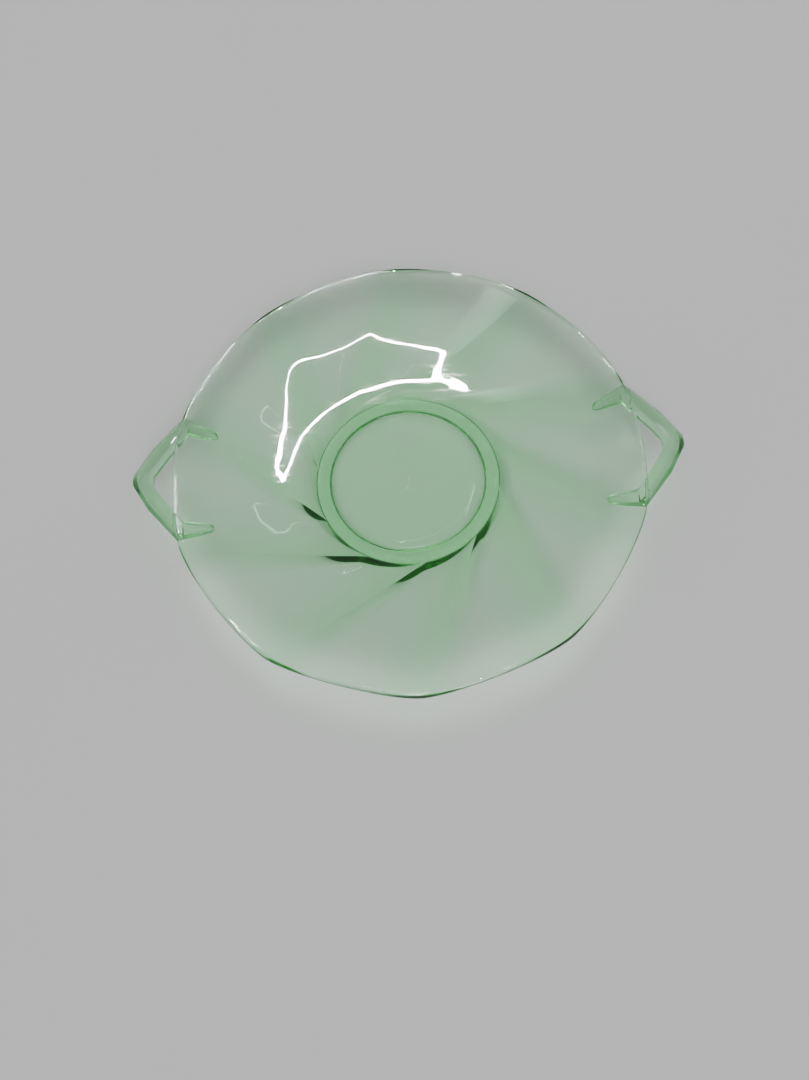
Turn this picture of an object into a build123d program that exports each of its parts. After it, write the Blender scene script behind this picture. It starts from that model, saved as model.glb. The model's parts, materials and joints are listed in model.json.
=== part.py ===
from build123d import *
import os
from math import acos, cos, degrees, radians, sin

# Two-handled dish of pressed green glass, standing on a low foot ring.
# Millimetres. X runs through both handles, Z is up, and the origin is the centre of the foot's underside.
# The dish is one pressing. Its regions are kept as separate solids that meet face to face.

# Overall sizes
overall_length = 280.0
wall_edge_height = 28.9
rim_corner_radius = 120.6
rim_side_radius = 118.7

# Foot and well
foot_inner_radius = 41.3
foot_outer_radius = 48.5
foot_height = 3.0
foot_edge_radius = 0.8
well_thickness = 4.0
well_top = foot_height + well_thickness
centre_mark_radius = 3.2
centre_mark_width = 0.8
centre_mark_depth = 0.3

# Wall
lobes = 10
lobe_angle = 360 / lobes
half_lobe = radians(lobe_angle / 2)
wall_start_slope = 0.0875
wall_curve_power = 2.5
ridge_circle_radius = 46.5
ridge_thickness = 5.2
flute_thickness = 3.8
cutter_overlap = 0.6
blank_spare = 1.0
cutter_drop = 12.0
corner_round = 14.0
rim_edge_radius = 1.2
section_radii = [47.5, 50.0, 54.0, 62.0, 75.0, 95.0, 123.0]

# Handles
handle_depth = 8.5
handle_top = 27.6
handle_bottom = handle_top - handle_depth
handle_tip = overall_length / 2
handle_width = 10.6
tip_flat = 2.0
outer_shoulder_x = 130.7
outer_shoulder_y = 17.2
inner_knee_x = 124.5
inner_knee_y = 9.5
handle_root_x = 112.0
outer_root_y = 38.6
inner_root_y = 27.0
outer_bevel = 3.0
lower_edge_radius = 0.8
upper_edge_radius = 0.5

# Claws
claw_spacing = 27.0
claw_tip_x = 99.5
claw_root_x = 122.0
claw_tip_width = 4.4
claw_root_width = 12.0
claw_drop = 3.0
claw_bury = 2.5
claw_edge_radius = 1.0


def wall_top(radius):
    """Height of the smooth inner surface: nearly flat beside the well and steeper towards the rim."""
    run = radius - foot_outer_radius
    full_run = rim_corner_radius - foot_outer_radius
    curved_rise = wall_edge_height - well_top - wall_start_slope * full_run
    share = max(run, 0.0) / full_run
    return well_top + wall_start_slope * run + curved_rise * share**wall_curve_power


def ridge_turn(radius):
    """Angle by which a ridge has swirled at a radius: in plan each ridge is a tangent of the ridge circle."""
    at_rim = acos(ridge_circle_radius / rim_corner_radius)
    return degrees(at_rim - acos(ridge_circle_radius / radius))


def flute_plane(radius):
    """Upright plane across one flute, through the points where both its ridges are at this radius."""
    middle = radius * cos(half_lobe)
    turn = radians(ridge_turn(radius))
    outward = Vector(cos(turn), sin(turn), 0)
    across = Vector(-sin(turn), cos(turn), 0)
    return Plane(origin=outward * middle, x_dir=across, z_dir=outward)


def rim_outline():
    """The ten-cornered outline of the rim: ten shallow arcs with softened corners."""
    with BuildSketch(Plane.XY) as outline:
        with BuildLine():
            for lobe in range(lobes):
                middle = lobe * lobe_angle
                start = Vector(rim_corner_radius, 0).rotate(Axis.Z, middle - lobe_angle / 2)
                crown = Vector(rim_side_radius, 0).rotate(Axis.Z, middle)
                end = Vector(rim_corner_radius, 0).rotate(Axis.Z, middle + lobe_angle / 2)
                ThreePointArc(start, crown, end)
        make_face()
        fillet(outline.vertices(), corner_round)
    return outline.sketch


def is_upper_rim_edge(edge):
    """True for the edges that run round the top of the rim."""
    centre = edge.center()
    at_rim = (centre.X**2 + centre.Y**2) ** 0.5 > rim_side_radius - 1
    return at_rim and centre.Z > wall_edge_height - ridge_thickness / 2 and abs(edge.tangent_at(0.5).Z) < 0.5


rim_face = rim_outline()
os.makedirs("parts", exist_ok=True)

# The wall: a turned shell, trimmed to the ten-cornered outline and hollowed by ten flutes underneath.
# Neighbouring flutes overlap a little, so they meet in a sharp swirled ridge.
profile_steps = 8
profile_radii = [
    foot_outer_radius + (rim_corner_radius + 2 - foot_outer_radius) * step / profile_steps
    for step in range(profile_steps + 1)
]
upper_points = [(radius, wall_top(radius)) for radius in profile_radii]
blank_thickness = ridge_thickness + blank_spare
lower_points = [(radius, wall_top(radius) - blank_thickness) for radius in reversed(profile_radii)]

with BuildPart() as flute_cutter:
    for radius in section_radii:
        half_width = radius * sin(half_lobe) + cutter_overlap
        side_height = wall_top(radius) - ridge_thickness
        crown_height = wall_top(radius * cos(half_lobe)) - flute_thickness
        with BuildSketch(flute_plane(radius)):
            with BuildLine():
                ThreePointArc((-half_width, side_height), (0, crown_height), (half_width, side_height))
                Line((half_width, side_height), (half_width, side_height - cutter_drop))
                Line((half_width, side_height - cutter_drop), (-half_width, side_height - cutter_drop))
                Line((-half_width, side_height - cutter_drop), (-half_width, side_height))
            make_face()
    loft()

with BuildPart() as swirl_wall:
    with BuildSketch(Plane.XZ):
        with BuildLine():
            Spline(*upper_points)
            Line(upper_points[-1], lower_points[0])
            Spline(*lower_points)
            Line(lower_points[-1], upper_points[0])
        make_face()
    revolve(axis=Axis.Z)
    with BuildSketch(Plane.XY):
        add(rim_face)
    extrude(amount=wall_edge_height * 2, mode=Mode.INTERSECT)
    fillet(swirl_wall.edges().filter_by(is_upper_rim_edge), rim_edge_radius)
    with PolarLocations(0, lobes):
        add(flute_cutter.part, mode=Mode.SUBTRACT)
swirl_wall.part.label = "swirl_wall"

export_step(swirl_wall.part, "parts/swirl_wall.step")

# The well: a flat disc whose underside carries the faint ring left by the mould's centre pin
with BuildPart() as well_plate:
    with BuildSketch(Plane.XY.offset(foot_height)):
        Circle(foot_outer_radius)
    extrude(amount=well_thickness)
    with BuildSketch(Plane.XY.offset(foot_height)):
        Circle(centre_mark_radius)
        Circle(centre_mark_radius - centre_mark_width, mode=Mode.SUBTRACT)
    extrude(amount=centre_mark_depth, mode=Mode.SUBTRACT)
well_plate.part.label = "well_plate"
export_step(well_plate.part, "parts/well_plate.step")

# The foot: a low ring with softened lower edges
with BuildPart() as foot_ring:
    with BuildSketch(Plane.XY):
        Circle(foot_outer_radius)
        Circle(foot_inner_radius, mode=Mode.SUBTRACT)
    extrude(amount=foot_height)
    fillet(foot_ring.edges().group_by(Axis.Z)[0], foot_edge_radius)
foot_ring.part.label = "foot_ring"
export_step(foot_ring.part, "parts/foot_ring.step")


def angular_outline(tip, shoulder_x, shoulder_y, root_y):
    """One edge of the handle at +X: from the back root over the blunt tip to the front root."""
    return [
        (handle_root_x, root_y),
        (shoulder_x, shoulder_y),
        (tip, tip_flat),
        (tip, -tip_flat),
        (shoulder_x, -shoulder_y),
        (handle_root_x, -root_y),
    ]


# A handle: an angular loop with a wide bevel along its outer upper edge, trimmed to the rim
outer_edge = angular_outline(handle_tip, outer_shoulder_x, outer_shoulder_y, outer_root_y)
inner_edge = angular_outline(handle_tip - handle_width, inner_knee_x, inner_knee_y, inner_root_y)


def runs_along(points):
    """A test that picks the straight edges lying above a list of plan points."""
    middles = [
        ((start[0] + end[0]) / 2, (start[1] + end[1]) / 2) for start, end in zip(points[:-1], points[1:])
    ]

    def test(edge):
        centre = edge.center()
        return any(abs(centre.X - x) < 0.1 and abs(centre.Y - y) < 0.1 for x, y in middles)

    return test


with BuildPart() as handle_loop:
    with BuildSketch(Plane.XY.offset(handle_bottom)):
        with BuildLine():
            Polyline(*outer_edge, *reversed(inner_edge), close=True)
        make_face()
    extrude(amount=handle_depth)
    top_edges = handle_loop.edges().group_by(Axis.Z)[-1]
    chamfer(top_edges.filter_by(runs_along(outer_edge)), outer_bevel)
    low_edges = handle_loop.edges().group_by(Axis.Z)[0]
    fillet(low_edges.filter_by(runs_along(outer_edge)), lower_edge_radius)
    fillet(low_edges.filter_by(runs_along(inner_edge)), lower_edge_radius)
    top_edges = handle_loop.edges().group_by(Axis.Z)[-1]
    fillet(top_edges.filter_by(runs_along(inner_edge)), upper_edge_radius)
    with BuildSketch(Plane.XY):
        add(rim_face)
    extrude(amount=wall_edge_height, mode=Mode.SUBTRACT)

for name, turn in [("handle_right", 0), ("handle_left", 180)]:
    with BuildPart() as handle:
        with Locations(Rotation(0, 0, turn)):
            add(handle_loop.part)
    handle.part.label = name
    export_step(handle.part, f"parts/{name}.step")

def claw_prong(side):
    """A prong under the rim at +X, on one side of the handle. It tapers towards its blunt tip."""
    with BuildPart() as prong:
        for claw_x, claw_width in [(claw_tip_x, claw_tip_width), (claw_root_x, claw_root_width)]:
            distance = (claw_x**2 + claw_spacing**2) ** 0.5
            underside = wall_top(distance) - ridge_thickness
            with BuildSketch(Plane.YZ.offset(claw_x)):
                with Locations((side * claw_spacing, underside - claw_drop)):
                    Rectangle(claw_width, claw_drop + claw_bury, align=(Align.CENTER, Align.MIN))
        loft(ruled=True)
        fillet(prong.faces().sort_by(Axis.X)[0].edges(), claw_edge_radius)
        with BuildSketch(Plane.XY):
            add(rim_face)
        extrude(amount=wall_edge_height, mode=Mode.INTERSECT)
        add(swirl_wall.part, mode=Mode.SUBTRACT)
    return prong.part.solids().sort_by(SortBy.VOLUME)[-1]


# The wall looks the same after half a turn, so each prong serves both handles
back_prong = claw_prong(1)
front_prong = claw_prong(-1)
claw_places = [
    ("claw_right_back", back_prong, 0),
    ("claw_right_front", front_prong, 0),
    ("claw_left_front", back_prong, 180),
    ("claw_left_back", front_prong, 180),
]
for name, prong_solid, turn in claw_places:
    with BuildPart() as claw:
        with Locations(Rotation(0, 0, turn)):
            add(prong_solid)
    claw.part.label = name
    export_step(claw.part, f"parts/{name}.step")
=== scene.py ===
# %% [markdown]
# # A pressed glass dish with two handles
# The dish is one pressing of pale green glass: a gather of hot glass is dropped into an iron mould,
# and a smooth plunger forces it up between the two. So its upper side is plain and polished, and
# every bit of pattern is on the underside: ten swirled flutes, a foot ring, and the prongs of the
# handles. This lesson builds it region by region and then gives it the glass, the light and the camera.
# We start from the fixed frame, which holds every size that matters, and keep its box for later.

# %% Load the frame
import json
import math

import bmesh
import bpy
from mathutils import Matrix, Vector

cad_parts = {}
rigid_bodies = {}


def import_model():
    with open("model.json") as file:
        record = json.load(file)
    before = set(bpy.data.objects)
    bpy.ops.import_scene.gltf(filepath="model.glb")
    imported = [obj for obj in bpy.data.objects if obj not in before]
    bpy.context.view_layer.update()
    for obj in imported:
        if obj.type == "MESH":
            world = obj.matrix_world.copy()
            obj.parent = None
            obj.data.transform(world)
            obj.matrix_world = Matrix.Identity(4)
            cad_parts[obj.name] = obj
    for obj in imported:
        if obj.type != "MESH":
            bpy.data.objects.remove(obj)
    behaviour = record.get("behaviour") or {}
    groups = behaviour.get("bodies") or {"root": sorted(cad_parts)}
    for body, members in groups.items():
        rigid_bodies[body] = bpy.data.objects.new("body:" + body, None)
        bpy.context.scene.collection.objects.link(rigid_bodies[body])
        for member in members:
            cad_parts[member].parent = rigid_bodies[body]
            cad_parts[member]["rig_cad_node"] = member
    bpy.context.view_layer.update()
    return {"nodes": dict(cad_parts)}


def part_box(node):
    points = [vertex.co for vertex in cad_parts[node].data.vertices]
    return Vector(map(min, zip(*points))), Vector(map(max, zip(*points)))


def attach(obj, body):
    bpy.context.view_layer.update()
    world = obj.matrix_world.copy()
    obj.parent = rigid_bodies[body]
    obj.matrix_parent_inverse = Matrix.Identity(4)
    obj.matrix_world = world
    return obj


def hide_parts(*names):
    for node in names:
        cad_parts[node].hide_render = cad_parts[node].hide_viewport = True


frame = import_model()
MM = 0.001
print("frame nodes:", sorted(frame["nodes"]))

# %% [markdown]
# ## Sizes taken from the frame
# Nothing is typed twice that the frame already knows. The box of each region gives the radii and
# heights, in millimetres, and only the finer shape that a box can't tell is written down here.

# %% Sizes from the frame
def box_mm(node):
    """The lowest and highest corners of one region, in millimetres."""
    low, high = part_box(node)
    return low / MM, high / MM


wall_high = box_mm("swirl_wall")[1]
foot_high = box_mm("foot_ring")[1]
well_low, well_high = box_mm("well_plate")
handle_low, handle_high = box_mm("handle_right")
claw_low = box_mm("claw_right_back")[0]

LOBES = 10
LOBE_ANGLE = 360 / LOBES
CORNER_RADIUS = wall_high.y
SIDE_RADIUS = wall_high.x
FOOT_RADIUS = foot_high.x
WELL_TOP = well_high.z
WELL_UNDER = well_low.z
RIM_TOP = wall_high.z
print(f"rim {SIDE_RADIUS:.1f} to {CORNER_RADIUS:.1f} mm, top {RIM_TOP:.1f} mm, foot {FOOT_RADIUS:.1f} mm")

# %% [markdown]
# ## The form of the wall
# Three rules make the whole wall. The upper surface is gently dished in the well, runs on into the
# wall without a crease, and gets steeper towards the rim. Each ridge between two flutes is, seen
# from above, a straight line that just touches a circle inside the foot, and that is what gives the
# swirl. And a flute isn't even across: it drops steeply from the crest on one side, and climbs back
# slowly to the next crest, as the blades of a turbine do. The steep flank is what catches the light:
# beside the foot it is steep enough to act as a mirror from inside, and sends the sight line through
# the whole width of the well, which is why dark green crescents show there. Writing these as
# functions of place means that the prongs of the handles can later follow the same underside.
# Sizes are in millimetres, and a place across a flute runs from -1 on one crest to 1 on the next.

# %% The form of the wall
WELL_LIFT = 0.4
WELL_EDGE = WELL_TOP + WELL_LIFT
WELL_DISH = 2.0
WALL_START_SLOPE = 2 * WELL_DISH / FOOT_RADIUS
WALL_POWER = 2.5
EDGE_LOSS = 1.1
RIDGE_INSET = 4.7
RIDGE_CIRCLE = FOOT_RADIUS - RIDGE_INSET
FLUTE_AT_FOOT = 3.4
FLUTE_AT_RIM = 2.6
FLUTE_THINNING = 0.9
RIDGE_AT_FOOT = 2.9
RIDGE_AT_RIM = 2.7
FLANK_END = -0.42
FLANK_SOFTNESS = 0.22
CLIMB_POWER = 1.3
CORNER_SAG = 2.3
SAG_POWER = 3.0
SHOULDER_HEIGHT = 1.0
SHOULDER_SLOPE = math.tan(math.radians(35))
SHOULDER_SOFTNESS = 0.4
SAG_SOFTNESS = 0.35
CORNER_SOFTNESS = 0.16
FULL_RUN = CORNER_RADIUS - FOOT_RADIUS


def plain_top(radius):
    """Height of the upper surface before it sags at the ridges. The well is gently dished."""
    run = radius - FOOT_RADIUS
    if run <= 0:
        return WELL_EDGE - WELL_DISH * (1 - (radius / FOOT_RADIUS) ** 2)
    rise = RIM_TOP + EDGE_LOSS - WELL_EDGE - WALL_START_SLOPE * FULL_RUN
    return WELL_EDGE + WALL_START_SLOPE * run + rise * (run / FULL_RUN) ** WALL_POWER


def ridge_turn(radius):
    """Angle in degrees by which the ridges have swirled at this radius."""
    radius = max(radius, FOOT_RADIUS)
    at_rim = math.acos(RIDGE_CIRCLE / CORNER_RADIUS)
    return math.degrees(at_rim - math.acos(min(1.0, RIDGE_CIRCLE / radius)))


def eased(value, softness):
    """Runs from 0 to 1 like the value itself, but starts softly."""
    return (math.hypot(value, softness) - softness) / (math.hypot(1, softness) - softness)


def nearness(across, softness):
    """0 in the middle of a flute and 1 on a ridge. A larger softness rounds the ridge more."""
    return (1 - eased(1 - min(1.0, abs(across)), softness)) ** 2


def ridge_share(across):
    """0 at the flute's deepest line and 1 on both crests: a steep flank, then a slow climb."""
    if across < FLANK_END:
        return eased((FLANK_END - across) / (FLANK_END + 1), FLANK_SOFTNESS)
    return min(1.0, (across - FLANK_END) / (1 - FLANK_END)) ** CLIMB_POWER


def across_at(x, y):
    """Where a point lies across its flute: 0 in the middle, -1 and 1 on the ridges."""
    turned = math.degrees(math.atan2(y, x)) - ridge_turn(math.hypot(x, y))
    return ((turned / LOBE_ANGLE + 0.5) % 1.0) * 2 - 1


def wall_share(radius):
    """0 at the foot and 1 at the rim."""
    return max(0.0, min(1.0, (radius - FOOT_RADIUS) / FULL_RUN))


def top_height(radius, across):
    """Height of the upper surface: plain, with a soft sag over each ridge near the rim."""
    return plain_top(radius) - CORNER_SAG * nearness(across, SAG_SOFTNESS) * wall_share(radius) ** SAG_POWER


def glass_thickness(radius, across):
    """Upright thickness of the wall. The floor of a flute is thinnest rather over halfway out."""
    share = wall_share(radius)
    ridge = RIDGE_AT_FOOT + (RIDGE_AT_RIM - RIDGE_AT_FOOT) * share
    flute = FLUTE_AT_FOOT + (FLUTE_AT_RIM - FLUTE_AT_FOOT) * share
    thinned = FLUTE_THINNING * 4 * share * (1 - share)
    return flute - thinned + ridge * ridge_share(across)


def under_height(radius, across):
    """Height of the moulded underside. Beside the foot the flutes end in a sloping shoulder."""
    flute = top_height(radius, across) - glass_thickness(radius, across)
    shoulder = SHOULDER_HEIGHT + (radius - FOOT_RADIUS) * SHOULDER_SLOPE
    return (flute + shoulder - math.hypot(flute - shoulder, SHOULDER_SOFTNESS)) / 2


def rim_radius(across):
    """The rim's outline: ten shallow arcs with softened corners."""
    return SIDE_RADIUS + (CORNER_RADIUS - SIDE_RADIUS) * nearness(across, CORNER_SOFTNESS)


last_step = plain_top(CORNER_RADIUS) - plain_top(CORNER_RADIUS - 1)
print(f"slope at the rim {math.degrees(math.atan(last_step)):.0f} deg")

# %% [markdown]
# ## A helper that skins rings
# Every piece here is a stack of closed rings with the same number of points: the dish's rings run
# round its axis, a handle's rings run round its section. Joining each ring to the next with quads
# gives clean, closed meshes that smooth shading likes, which matters because glass shows every
# fault in its normals.

# %% Skin rings into a closed mesh
def skin_rings(name, rings, first_cap, last_cap):
    """A closed mesh from rings of (x, y, z) points in millimetres. Each cap is one point."""
    mesh = bmesh.new()
    loops = [[mesh.verts.new(Vector(point) * MM) for point in ring] for ring in rings]
    for near, far in zip(loops[:-1], loops[1:]):
        for i in range(len(near)):
            j = (i + 1) % len(near)
            mesh.faces.new((near[i], near[j], far[j], far[i]))
    for loop, cap in ((loops[0], first_cap), (loops[-1], last_cap)):
        pole = mesh.verts.new(Vector(cap) * MM)
        for i in range(len(loop)):
            mesh.faces.new((loop[i], loop[(i + 1) % len(loop)], pole))
    bmesh.ops.recalc_face_normals(mesh, faces=mesh.faces)
    data = bpy.data.meshes.new(name)
    mesh.to_mesh(data)
    mesh.free()
    data.shade_smooth()
    piece = bpy.data.objects.new(name, data)
    bpy.context.scene.collection.objects.link(piece)
    print(f"{name}: {len(data.vertices)} points, {len(data.polygons)} faces")
    return piece


# %% [markdown]
# ## The body: well, wall and foot in one skin
# On the real dish there is no joint between the well, the wall and the foot, and a seam inside clear
# glass would show as a bright line. So these three regions are one closed skin. Its columns follow
# the swirl, so the sharp ridges run along mesh edges, and the columns crowd together beside each
# ridge, where the surface turns quickly.

# %% Columns that follow the swirl
ACROSS_STEPS = [-1, -0.985, -0.96, -0.92, -0.87, -0.81, -0.75, -0.69, -0.62, -0.55, -0.48, -0.4, -0.28, -0.12,
                0.06, 0.24, 0.42, 0.59, 0.74, 0.86, 0.94, 0.98]
COLUMNS = [(lobe, across) for lobe in range(LOBES) for across in ACROSS_STEPS]


def column_point(lobe, across, radius, height):
    """A point of one swirled column."""
    angle = math.radians((lobe + across / 2) * LOBE_ANGLE + ridge_turn(radius))
    return (radius * math.cos(angle), radius * math.sin(angle), height)


def ring_of(radius_rule, height_rule):
    """One ring round the dish. Both rules take the place across the flute."""
    ring = []
    for lobe, across in COLUMNS:
        radius = radius_rule(across)
        ring.append(column_point(lobe, across, radius, height_rule(radius, across)))
    return ring


print(f"{len(COLUMNS)} columns")

# %% Rings of the body
EDGE_BULGE = 1.7
EDGE_STEPS = 10
WALL_RINGS = 56
RING_CROWDING = 1.35
WELL_RADII = [4, 8, 12, 16, 20, 24, 28, 32, 36, 40, 43, 46, 47.7]


def wall_radius(share):
    """A rule for the radius at a share of the way from the foot to where the rim's rounding starts."""
    return lambda across: FOOT_RADIUS + share * (rim_radius(across) - EDGE_BULGE - FOOT_RADIUS)


def rim_edge(turn, inset=0.0):
    """Radius and height rules for the rounded edge, from its top (0) to its underside (pi)."""
    def radius_rule(across):
        return rim_radius(across) - EDGE_BULGE + (EDGE_BULGE - inset) * math.sin(turn)

    def height_rule(radius, across):
        start = rim_radius(across) - EDGE_BULGE
        top, under = top_height(start, across), under_height(start, across)
        return (top + under) / 2 + ((top - under) / 2 - inset) * math.cos(turn)

    return radius_rule, height_rule


body_rings = [ring_of(lambda across, r=r: r, top_height) for r in WELL_RADII]
shares = [(step / WALL_RINGS) ** RING_CROWDING for step in range(WALL_RINGS + 1)]
for share in shares:
    body_rings.append(ring_of(wall_radius(share), top_height))
for step in range(1, EDGE_STEPS):
    body_rings.append(ring_of(*rim_edge(math.pi * step / EDGE_STEPS)))
for share in reversed(shares):
    body_rings.append(ring_of(wall_radius(share), under_height))
print(f"{len(body_rings)} rings down to the foot")

# %% [markdown]
# The foot is a low ring. Its edges are rounded, as mould edges are, because a sharp edge in
# iron would chip the glass. Inside it the recess rises in a wide hollow curve to the underside of the
# well, where the mould's centre pin leaves a faint ring, about a quarter of a millimetre deep.

# %% The foot and the underside of the well
FOOT_ROUND = 0.9
FOOT_WIDTH = 7.2
FOOT_INNER = FOOT_RADIUS - FOOT_WIDTH
RECESS_HOLLOW = 4.0
HOLLOW_STEPS = 9
UNDER_EDGE = FOOT_INNER - RECESS_HOLLOW
UNDER_DROP = 0.5
UNDER_DISH = 1.0
UNDER_RADII = [35, 32, 29, 26, 22, 18, 14, 10, 6]
MARK_RADII = [(3.6, 0.0), (3.2, 0.25), (2.6, 0.28), (2.2, 0.05), (1.2, 0.18)]
MARK_MIDDLE = 0.1
ARC_STEPS = 4


def quarter(centre_radius, centre_height, size, start):
    """Points of a quarter circle in the upright section, from an angle in degrees, turning clockwise."""
    points = []
    for step in range(ARC_STEPS + 1):
        turn = math.radians(start - 90 * step / ARC_STEPS)
        points.append((centre_radius + size * math.cos(turn), centre_height + size * math.sin(turn)))
    return points


def well_under(radius):
    """Height of the underside of the well, which sinks a little towards the middle."""
    return WELL_UNDER - UNDER_DROP - UNDER_DISH * (1 - (radius / UNDER_EDGE) ** 2)


foot_section = quarter(FOOT_RADIUS - FOOT_ROUND, FOOT_ROUND, FOOT_ROUND, 0)
foot_section += quarter(FOOT_INNER + FOOT_ROUND, FOOT_ROUND, FOOT_ROUND, -90)
hollow_rise = well_under(UNDER_EDGE) - FOOT_ROUND
for step in range(1, HOLLOW_STEPS + 1):
    turn = math.pi / 2 * step / HOLLOW_STEPS
    hollow_radius = FOOT_INNER - RECESS_HOLLOW * (1 - math.cos(turn))
    foot_section.append((hollow_radius, FOOT_ROUND + hollow_rise * math.sin(turn)))
foot_section += [(radius, well_under(radius)) for radius in UNDER_RADII]
foot_section += [(radius, well_under(radius) + depth) for radius, depth in MARK_RADII]
for radius, height in foot_section:
    body_rings.append(ring_of(lambda across, r=radius: r, lambda r, a, h=height: h))

dish_body = skin_rings("dish_body", body_rings, (0, 0, plain_top(0)), (0, 0, well_under(0) + MARK_MIDDLE))
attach(dish_body, "root")
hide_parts("well_plate", "foot_ring", "swirl_wall")

# %% [markdown]
# ## The handles
# Each handle is an angular loop: two nearly straight arms that bend at a shoulder and meet at a
# blunt tip. Its section has five sides: a flat top band beside the finger gap, a wide bevel outside
# it, and an underside that slopes back in, so that the mould could open. The rings of its skin are
# sections, placed at stations along the loop, and every station is a line in plan from the inner
# edge to the outer edge. Where the plan turns, two stations lie close together, so that the corner
# stays crisp after the mesh is smoothed.

# %% Sections of a handle
HANDLE_TIP = handle_high.x
HANDLE_TOP = handle_high.z
HANDLE_DEPTH = handle_high.z - handle_low.z
TIP_FLAT = 2.0
TIP_WIDTH = 10.6
INNER_PLAN = [(112.0, 27.0), (124.5, 9.5), (HANDLE_TIP - TIP_WIDTH, TIP_FLAT)]
OUTER_PLAN = [(112.0, 38.6), (130.7, 17.2), (HANDLE_TIP, TIP_FLAT)]
SECTION = [
    (0.00, -1.0), (0.03, -0.35), (0.09, -0.05), (0.20, 0.0), (0.36, 0.0), (0.50, 0.0), (0.56, -0.08),
    (0.61, -0.40), (0.76, -1.75), (0.91, -3.15), (0.97, -3.75), (1.0, -4.25), (0.98, -4.75),
    (0.92, -5.25), (0.78, -6.45), (0.64, -7.65), (0.58, -8.2), (0.52, -8.45), (0.40, -8.5), (0.22, -8.5),
    (0.09, -8.45), (0.03, -8.1), (0.0, -7.4), (0.0, -5.6), (0.0, -3.2),
]
SECTION_DEPTH = 8.5


def between(first, second, share):
    """The point at a share of the way from one plan point to another."""
    return tuple(a + (b - a) * share for a, b in zip(first, second))


def plan_at(leg, share, inner_share):
    """The plan point at a share of the way along one leg, and across it."""
    start = between(INNER_PLAN[leg], OUTER_PLAN[leg], inner_share)
    end = between(INNER_PLAN[leg + 1], OUTER_PLAN[leg + 1], inner_share)
    return between(start, end, share)


def section_ring(leg, share, mirrored):
    """One ring of the handle's skin."""
    ring = []
    for inner_share, depth in SECTION:
        x, y = plan_at(leg, share, inner_share)
        ring.append((x, -y if mirrored else y, HANDLE_TOP + depth * HANDLE_DEPTH / SECTION_DEPTH))
    return ring


STATIONS = [(0, share) for share in (0.0, 0.1, 0.3, 0.5, 0.7, 0.88, 0.97)]
STATIONS += [(1, share) for share in (0.03, 0.15, 0.4, 0.65, 0.87, 0.97)]
back_half = [section_ring(leg, share, False) for leg, share in STATIONS]
front_half = [section_ring(leg, share, True) for leg, share in STATIONS]
handle_rings = back_half + list(reversed(front_half))
print(f"{len(handle_rings)} sections in a handle")

# %% [markdown]
# ## The prongs under the rim
# Each arm of a handle runs on under the rim as a prong, or claw, that tapers to a blunt tip. Seen
# from above, its edge towards the gap runs straight in, and its outer edge runs in from the
# handle's outer corner. It lies along the wall, so it takes its height from the wall's underside,
# and it has a narrow flat keel between two sloping sides.

# %% Rings of a prong
CLAW_TIP_X = claw_low.x
CLAW_ROOT_X = 114.5
CLAW_INNER_Y = 24.4
CLAW_OUTER_Y = [29.0, 34.6]
CLAW_DROP = [2.6, 4.6]
CLAW_STATIONS = [0.0, 0.012, 0.04, 0.09, 0.16, 0.28, 0.42, 0.56, 0.7, 0.85, 1.0]
CLAW_SECTION = [
    (0.0, -1.0), (0.5, -1.0), (1.0, -1.0), (1.0, 0.0), (0.98, 0.2), (0.8, 0.62), (0.66, 0.93), (0.6, 1.0),
    (0.34, 1.0), (0.28, 0.93), (0.16, 0.62), (0.02, 0.2), (0.0, 0.0),
]
TIP_ROUND = 0.13
TIP_SIZE = 0.4
CLAW_ROOTED = FLUTE_AT_RIM / 2


def claw_rings(side):
    """The rings of one prong at +X, from its tip to the handle. Its top lies inside the wall."""
    rings = []
    for share in CLAW_STATIONS:
        blunt = math.sqrt(max(0.0, 1 - (1 - min(1.0, share / TIP_ROUND)) ** 2))
        x = CLAW_TIP_X + (CLAW_ROOT_X - CLAW_TIP_X) * share
        outer = CLAW_OUTER_Y[0] + (CLAW_OUTER_Y[1] - CLAW_OUTER_Y[0]) * share
        middle = (CLAW_INNER_Y + outer) / 2
        size = TIP_SIZE + (1 - TIP_SIZE) * blunt
        width = (outer - CLAW_INNER_Y) * size
        drop = (CLAW_DROP[0] + (CLAW_DROP[1] - CLAW_DROP[0]) * share) * size
        ring = []
        for place, depth in CLAW_SECTION:
            y = side * (middle + (place - 0.5) * width)
            under = under_height(math.hypot(x, y), across_at(x, y))
            ring.append((x, y, under - depth * (drop if depth > 0 else CLAW_ROOTED)))
        rings.append(ring)
    return rings


# %% [markdown]
# ## Joining a handle to its prongs, and trimming it to the wall
# On the real dish all this is one mass of glass. Here a handle and its two prongs are united, and
# then everything that would lie inside the wall is cut away, so that the piece fits the wall and the
# rounded rim exactly. The cutter is the wall's own form, set a tenth of a millimetre inside it. Two
# clear pieces that overlap by that much, with parallel faces, let light through as if they were one,
# while a gap between them, however thin, would act as a mirror.

# %% Cut the handles to fit
FUSION = 0.12
CUTTER_TOP = 60.0
CUTTER_RINGS = 26
CUTTER_SPAN = 0.42
SHARP_ANGLE = 32


def middle_of(ring):
    """The mean point of a ring."""
    return tuple(sum(point[axis] for point in ring) / len(ring) for axis in range(3))


def half_turn(points):
    """The same points after half a turn about the dish's axis."""
    return [(-x, -y, z) for x, y, z in points]


def keep_modifiers(piece):
    """Applies every modifier of a piece to its mesh."""
    bpy.context.view_layer.update()
    graph = bpy.context.evaluated_depsgraph_get()
    result = bpy.data.meshes.new_from_object(piece.evaluated_get(graph))
    piece.modifiers.clear()
    piece.data = result


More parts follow.
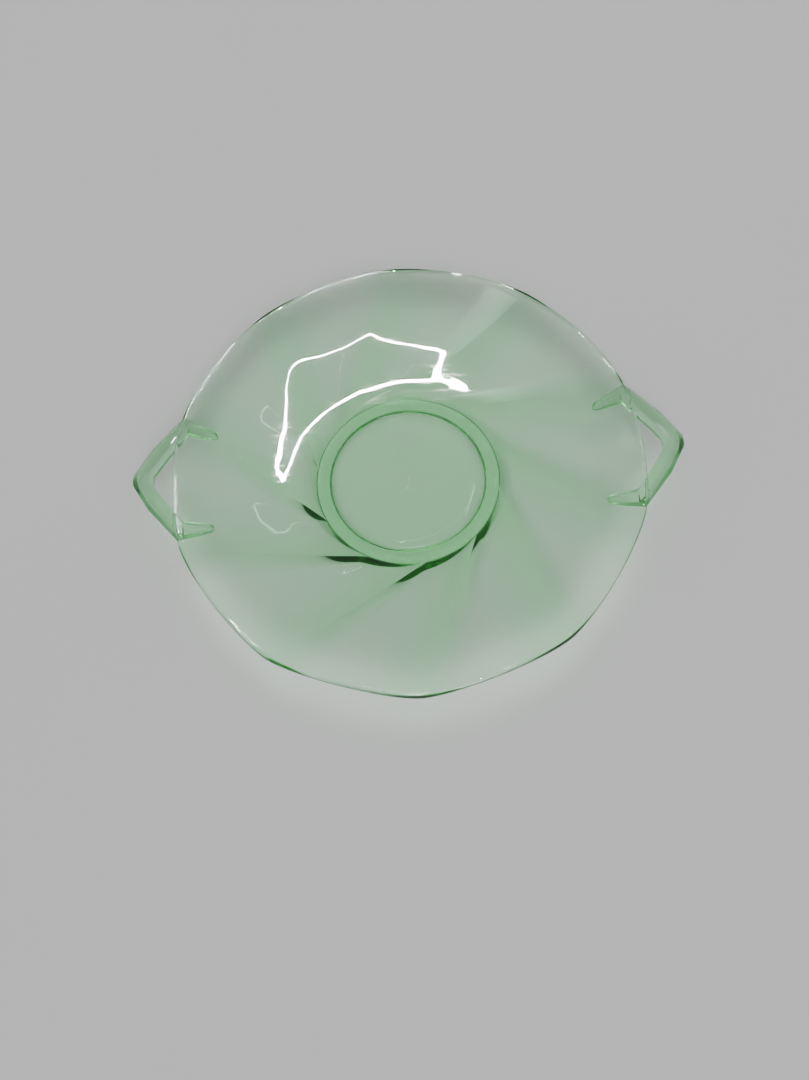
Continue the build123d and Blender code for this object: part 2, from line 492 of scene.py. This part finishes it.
def combine(piece, other, operation):
    """Unites a piece with another or subtracts the other from it, and removes the other."""
    modifier = piece.modifiers.new("combine", "BOOLEAN")
    modifier.operation = operation
    modifier.solver = "MANIFOLD"
    modifier.object = other
    keep_modifiers(piece)
    bpy.data.objects.remove(other)


cutter_rings = [ring_of(lambda across: rim_radius(across) - EDGE_BULGE, lambda r, a: CUTTER_TOP)]
for step in range(EDGE_STEPS):
    cutter_rings.append(ring_of(*rim_edge(math.pi * step / EDGE_STEPS, FUSION)))
for step in range(CUTTER_RINGS + 1):
    share = 1 - CUTTER_SPAN * step / CUTTER_RINGS
    cutter_rings.append(ring_of(wall_radius(share), lambda r, a: under_height(r, a) + FUSION))

for side, turned in (("right", list), ("left", half_turn)):
    rings = [turned(ring) for ring in handle_rings]
    handle = skin_rings("glass_handle_" + side, rings, middle_of(rings[0]), middle_of(rings[-1]))
    rounding = handle.modifiers.new("rounding", "SUBSURF")
    rounding.levels = 1
    keep_modifiers(handle)
    for half in (1, -1):
        rings = [turned(ring) for ring in claw_rings(half)]
        prong = skin_rings(f"prong_{side}_{half}", rings, middle_of(rings[0]), middle_of(rings[-1]))
        combine(handle, prong, "UNION")
    cutter = skin_rings("cutter", cutter_rings, (0, 0, CUTTER_TOP), (0, 0, WELL_TOP))
    combine(handle, cutter, "DIFFERENCE")
    handle.data.shade_smooth()
    handle.data.set_sharp_from_angle(angle=math.radians(SHARP_ANGLE))
    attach(handle, "root")
    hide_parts(f"handle_{side}", f"claw_{side}_back", f"claw_{side}_front")
    print(f"{handle.name}: {len(handle.data.polygons)} faces after trimming")

# %% [markdown]
# ## The glass
# This is soda-lime glass with a trace of uranium oxide, pressed and then fire-polished. To the eye
# that means a clear, bright surface, almost no colour where it is thin, and a strong green where
# the sight line runs far through it. So the colour isn't painted on: it is absorption in the
# volume, worked out from how much of each colour is left after a known thickness. The surface
# keeps what the making left: long soft waves from the mould and the plunger, and a finer skin. Use
# has added two things: hairline scratches that fray the edges of a bright reflection, and a scuffed
# band where the foot has been slid over tables. Both are roughness, not bump, because they scatter
# light without changing the form. Real scratches are a few hundredths of a millimetre wide, too fine
# to show, so they are drawn about ten times as wide.

# %% Helpers for materials
def linear(hex_colour):
    """An sRGB hex colour as a linear RGBA colour."""
    values = [int(hex_colour[i:i + 2], 16) / 255 for i in (1, 3, 5)]
    return tuple(v / 12.92 if v <= 0.04045 else ((v + 0.055) / 1.055) ** 2.4 for v in values) + (1.0,)


def add_node(tree, kind, settings=None, links=None):
    """Adds a node, sets its sockets or properties by name, and links outputs into its sockets."""
    node = tree.nodes.new(kind)
    for key, value in (settings or {}).items():
        if key in node.inputs:
            node.inputs[key].default_value = value
        else:
            setattr(node, key, value)
    for key, output in (links or {}).items():
        tree.links.new(output, node.inputs[key])
    return node


def new_material(name):
    """An empty node material and its output node."""
    material = bpy.data.materials.new(name)
    material.use_nodes = True
    material.node_tree.nodes.clear()
    output = material.node_tree.nodes.new("ShaderNodeOutputMaterial")
    return material, material.node_tree, output


# %% Pressed green glass
LEFT_AFTER_10_MM = (0.475, 0.87, 0.535)
ABSORPTION = [-math.log(share) / (10 * MM) for share in LEFT_AFTER_10_MM]
DENSITY_MARGIN = 1.1
DENSITY = max(ABSORPTION) * DENSITY_MARGIN
ABSORPTION_COLOUR = tuple(1 - value / DENSITY for value in ABSORPTION) + (1.0,)
GLASS_IOR = 1.51
WAVE_MM = 22.0
WAVE_DEPTH_MM = 0.05
SKIN_MM = 2.2
SKIN_DEPTH_MM = 0.0015
SCRATCH_WIDTH_MM = 0.45
SCRATCH_LENGTH_MM = 16.0
SCRATCH_ANGLE = 32.0
SCRATCH_FROM, SCRATCH_FULL = 0.64, 0.74
SCRATCH_ROUGHNESS = 0.06
SCUFF_HEIGHT_MM = 0.4
SCUFF_GRAIN_MM = 1.3
SCUFF_ROUGHNESS = 0.22


def pressed_glass():
    """Fire-polished soda-lime glass with uranium green through its mass."""
    material, tree, output = new_material("fire_polished_uranium_glass")
    place = add_node(tree, "ShaderNodeTexCoord")
    waves = add_node(tree, "ShaderNodeTexNoise", {"Scale": 1 / (WAVE_MM * MM), "Detail": 1.0},
                     {"Vector": place.outputs["Object"]})
    skin = add_node(tree, "ShaderNodeTexNoise", {"Scale": 1 / (SKIN_MM * MM), "Detail": 2.0},
                    {"Vector": place.outputs["Object"]})
    wave_bump = add_node(tree, "ShaderNodeBump", {"Strength": 1.0, "Distance": WAVE_DEPTH_MM * MM},
                         {"Height": waves.outputs["Fac"]})
    skin_bump = add_node(tree, "ShaderNodeBump", {"Strength": 1.0, "Distance": SKIN_DEPTH_MM * MM},
                         {"Height": skin.outputs["Fac"], "Normal": wave_bump.outputs["Normal"]})
    along, over = 1 / (SCRATCH_LENGTH_MM * MM), 1 / (SCRATCH_WIDTH_MM * MM)
    stretched = add_node(tree, "ShaderNodeMapping",
                         {"Rotation": (0, 0, math.radians(SCRATCH_ANGLE)), "Scale": (along, over, along)},
                         {"Vector": place.outputs["Object"]})
    streaks = add_node(tree, "ShaderNodeTexNoise", {"Scale": 1.0, "Detail": 0.0},
                       {"Vector": stretched.outputs["Vector"]})
    scratches = add_node(tree, "ShaderNodeMapRange",
                         {"From Min": SCRATCH_FROM, "From Max": SCRATCH_FULL, "To Max": SCRATCH_ROUGHNESS},
                         {"Value": streaks.outputs["Fac"]})
    height = add_node(tree, "ShaderNodeSeparateXYZ", None, {"Vector": place.outputs["Object"]})
    near_table = add_node(tree, "ShaderNodeMapRange",
                          {"From Min": SCUFF_HEIGHT_MM * MM, "From Max": 0.0, "To Max": SCUFF_ROUGHNESS},
                          {"Value": height.outputs["Z"]})
    grain = add_node(tree, "ShaderNodeTexNoise", {"Scale": 1 / (SCUFF_GRAIN_MM * MM), "Detail": 2.0},
                     {"Vector": place.outputs["Object"]})
    scuffs = add_node(tree, "ShaderNodeMath", {"operation": "MULTIPLY"},
                      {0: near_table.outputs["Result"], 1: grain.outputs["Fac"]})
    worn = add_node(tree, "ShaderNodeMath", {"operation": "ADD"},
                    {0: scratches.outputs["Result"], 1: scuffs.outputs["Value"]})
    surface = add_node(tree, "ShaderNodeBsdfPrincipled",
                       {"Base Color": linear("#FAFFFA"), "IOR": GLASS_IOR, "Transmission Weight": 1.0},
                       {"Roughness": worn.outputs["Value"], "Normal": skin_bump.outputs["Normal"]})
    inside = add_node(tree, "ShaderNodeVolumeAbsorption",
                      {"Color": ABSORPTION_COLOUR, "Density": DENSITY})
    tree.links.new(surface.outputs["BSDF"], output.inputs["Surface"])
    tree.links.new(inside.outputs["Volume"], output.inputs["Volume"])
    return material


glass = pressed_glass()
for piece in bpy.context.scene.objects:
    if piece.type == "MESH" and "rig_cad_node" not in piece:
        piece.data.materials.clear()
        piece.data.materials.append(glass)
print("absorption per metre:", [round(value) for value in ABSORPTION])

# %% [markdown]
# ## The floor and the light
# A plain pale floor lets the glass show its own colour, because what we see in clear glass is
# mostly what lies behind it. The light is soft: an even, pale surround that brightens like a large
# soft box at the front, where the upper side doesn't mirror it towards the camera, so it lays no veil
# over the colour. Above and beyond the far side hangs a lamp of slim strips round a loop. Glass needs
# such a bright, narrow shape to mirror: it draws one smooth loop on the polished upper side and thin,
# faint ones in the flutes below. The strips are there to be mirrored, so matt things take no direct
# light from them, only what comes through the glass.

# %% Floor
FLOOR_HALF = 3.0
FLOOR_GAP = 0.0003
FLOOR_CLOUD = 1 / 3


def pale_floor():
    """Matt painted board: pale, with a very faint unevenness."""
    material, tree, output = new_material("matt_painted_board")
    place = add_node(tree, "ShaderNodeTexCoord")
    cloud = add_node(tree, "ShaderNodeTexNoise", {"Scale": 1 / FLOOR_CLOUD, "Detail": 3.0},
                     {"Vector": place.outputs["Object"]})
    tint = add_node(tree, "ShaderNodeMix", {"data_type": "RGBA"}, {"Factor": cloud.outputs["Fac"]})
    tint.inputs["A"].default_value = linear("#C8C8C6")
    tint.inputs["B"].default_value = linear("#CFCFCD")
    surface = add_node(tree, "ShaderNodeBsdfPrincipled", {"Roughness": 0.8},
                       {"Base Color": tint.outputs["Result"]})
    tree.links.new(surface.outputs["BSDF"], output.inputs["Surface"])
    return material


floor_mesh = bpy.data.meshes.new("floor")
floor_corners = [(x * FLOOR_HALF, y * FLOOR_HALF, 0) for x, y in ((-1, -1), (1, -1), (1, 1), (-1, 1))]
floor_mesh.from_pydata(floor_corners, [], [(0, 1, 2, 3)])
floor = bpy.data.objects.new("floor", floor_mesh)
bpy.context.scene.collection.objects.link(floor)
floor.location.z = -FLOOR_GAP
floor_mesh.materials.append(pale_floor())

# %% Light paths
# Inside clear glass light is mirrored many times before it leaves, and each time counts as a bounce.
paths = bpy.context.scene.cycles
paths.max_bounces = 32
paths.glossy_bounces = 16
paths.transmission_bounces = 24
print("bounces:", paths.max_bounces)

# %% The soft surround
AMBIENT = 0.5
SOFT_BOX = 13.5
SOFT_BOX_TOWARDS = Vector((0.1, -0.8, 1.0)).normalized()
SOFT_BOX_NARROWNESS = 30.0
world = bpy.data.worlds.new("soft_surround")
bpy.context.scene.world = world
world.use_nodes = True
sky = world.node_tree
background = sky.nodes["Background"]
background.inputs["Color"].default_value = linear("#F1F3F4")
towards = add_node(sky, "ShaderNodeTexCoord")
aligned = add_node(sky, "ShaderNodeVectorMath", {"operation": "DOT_PRODUCT"},
                   {0: towards.outputs["Generated"]})
aligned.inputs[1].default_value = SOFT_BOX_TOWARDS
upper = add_node(sky, "ShaderNodeMath", {"operation": "MAXIMUM"}, {0: aligned.outputs["Value"]})
upper.inputs[1].default_value = 0.0
narrowed = add_node(sky, "ShaderNodeMath", {"operation": "POWER"}, {0: upper.outputs["Value"]})
narrowed.inputs[1].default_value = SOFT_BOX_NARROWNESS
strength = add_node(sky, "ShaderNodeMath", {"operation": "MULTIPLY_ADD"}, {0: narrowed.outputs["Value"]})
strength.inputs[1].default_value = SOFT_BOX
strength.inputs[2].default_value = AMBIENT
sky.links.new(strength.outputs["Value"], background.inputs["Strength"])

# %% The lamp of strips
LAMP_HEIGHT = 1.2
STRIP_WIDTH = 0.009
POWER_PER_METRE = 15.0
LAMP_CORNERS = [
    (0.187, 0.390), (0.165, 0.310), (0.118, 0.240), (0.085, 0.217), (0.055, 0.219),
    (0.005, 0.255), (-0.040, 0.300), (-0.058, 0.350), (-0.054, 0.430), (-0.032, 0.520),
    (0.018, 0.548), (0.030, 0.592), (0.060, 0.572), (0.128, 0.482),
]


def lamp_strip(name, start, end):
    """A slim strip of light between two places in plan. It faces down and lights no matt thing directly."""
    run = Vector(end) - Vector(start)
    data = bpy.data.lights.new(name, "AREA")
    data.shape = "RECTANGLE"
    data.size, data.size_y = run.length, STRIP_WIDTH
    data.energy = POWER_PER_METRE * run.length
    strip = bpy.data.objects.new(name, data)
    strip.location = (*(Vector(start) + run / 2), LAMP_HEIGHT)
    strip.rotation_euler = (0, 0, math.atan2(run.y, run.x))
    strip.visible_diffuse = False
    bpy.context.scene.collection.objects.link(strip)


for index, corner in enumerate(LAMP_CORNERS):
    lamp_strip(f"lamp_strip_{index}", corner, LAMP_CORNERS[(index + 1) % len(LAMP_CORNERS)])
print(f"{len(LAMP_CORNERS)} strips in the lamp")

# %% [markdown]
# ## The camera
# The dish is seen from above and a little in front, with a short lens close by, which is why its
# near half looks larger. The camera leans a few degrees, so the handles aren't quite level.

# %% Camera
CAMERA_PLACE = Vector((0.0067, -0.1924, 0.3867))
CAMERA_FORWARD = Vector((-0.0252, 0.3797, -0.9248))
CAMERA_UP = Vector((0.0715, 0.9234, 0.3772))
camera_data = bpy.data.cameras.new("camera")
camera_data.lens = 27.0
camera_data.sensor_width = 36.0
camera = bpy.data.objects.new("camera", camera_data)
bpy.context.scene.collection.objects.link(camera)
backward = -CAMERA_FORWARD.normalized()
sideways = CAMERA_UP.cross(backward).normalized()
upward = backward.cross(sideways)
camera.matrix_world = Matrix((
    (sideways.x, upward.x, backward.x, CAMERA_PLACE.x),
    (sideways.y, upward.y, backward.y, CAMERA_PLACE.y),
    (sideways.z, upward.z, backward.z, CAMERA_PLACE.z),
    (0, 0, 0, 1),
))
bpy.context.scene.camera = camera
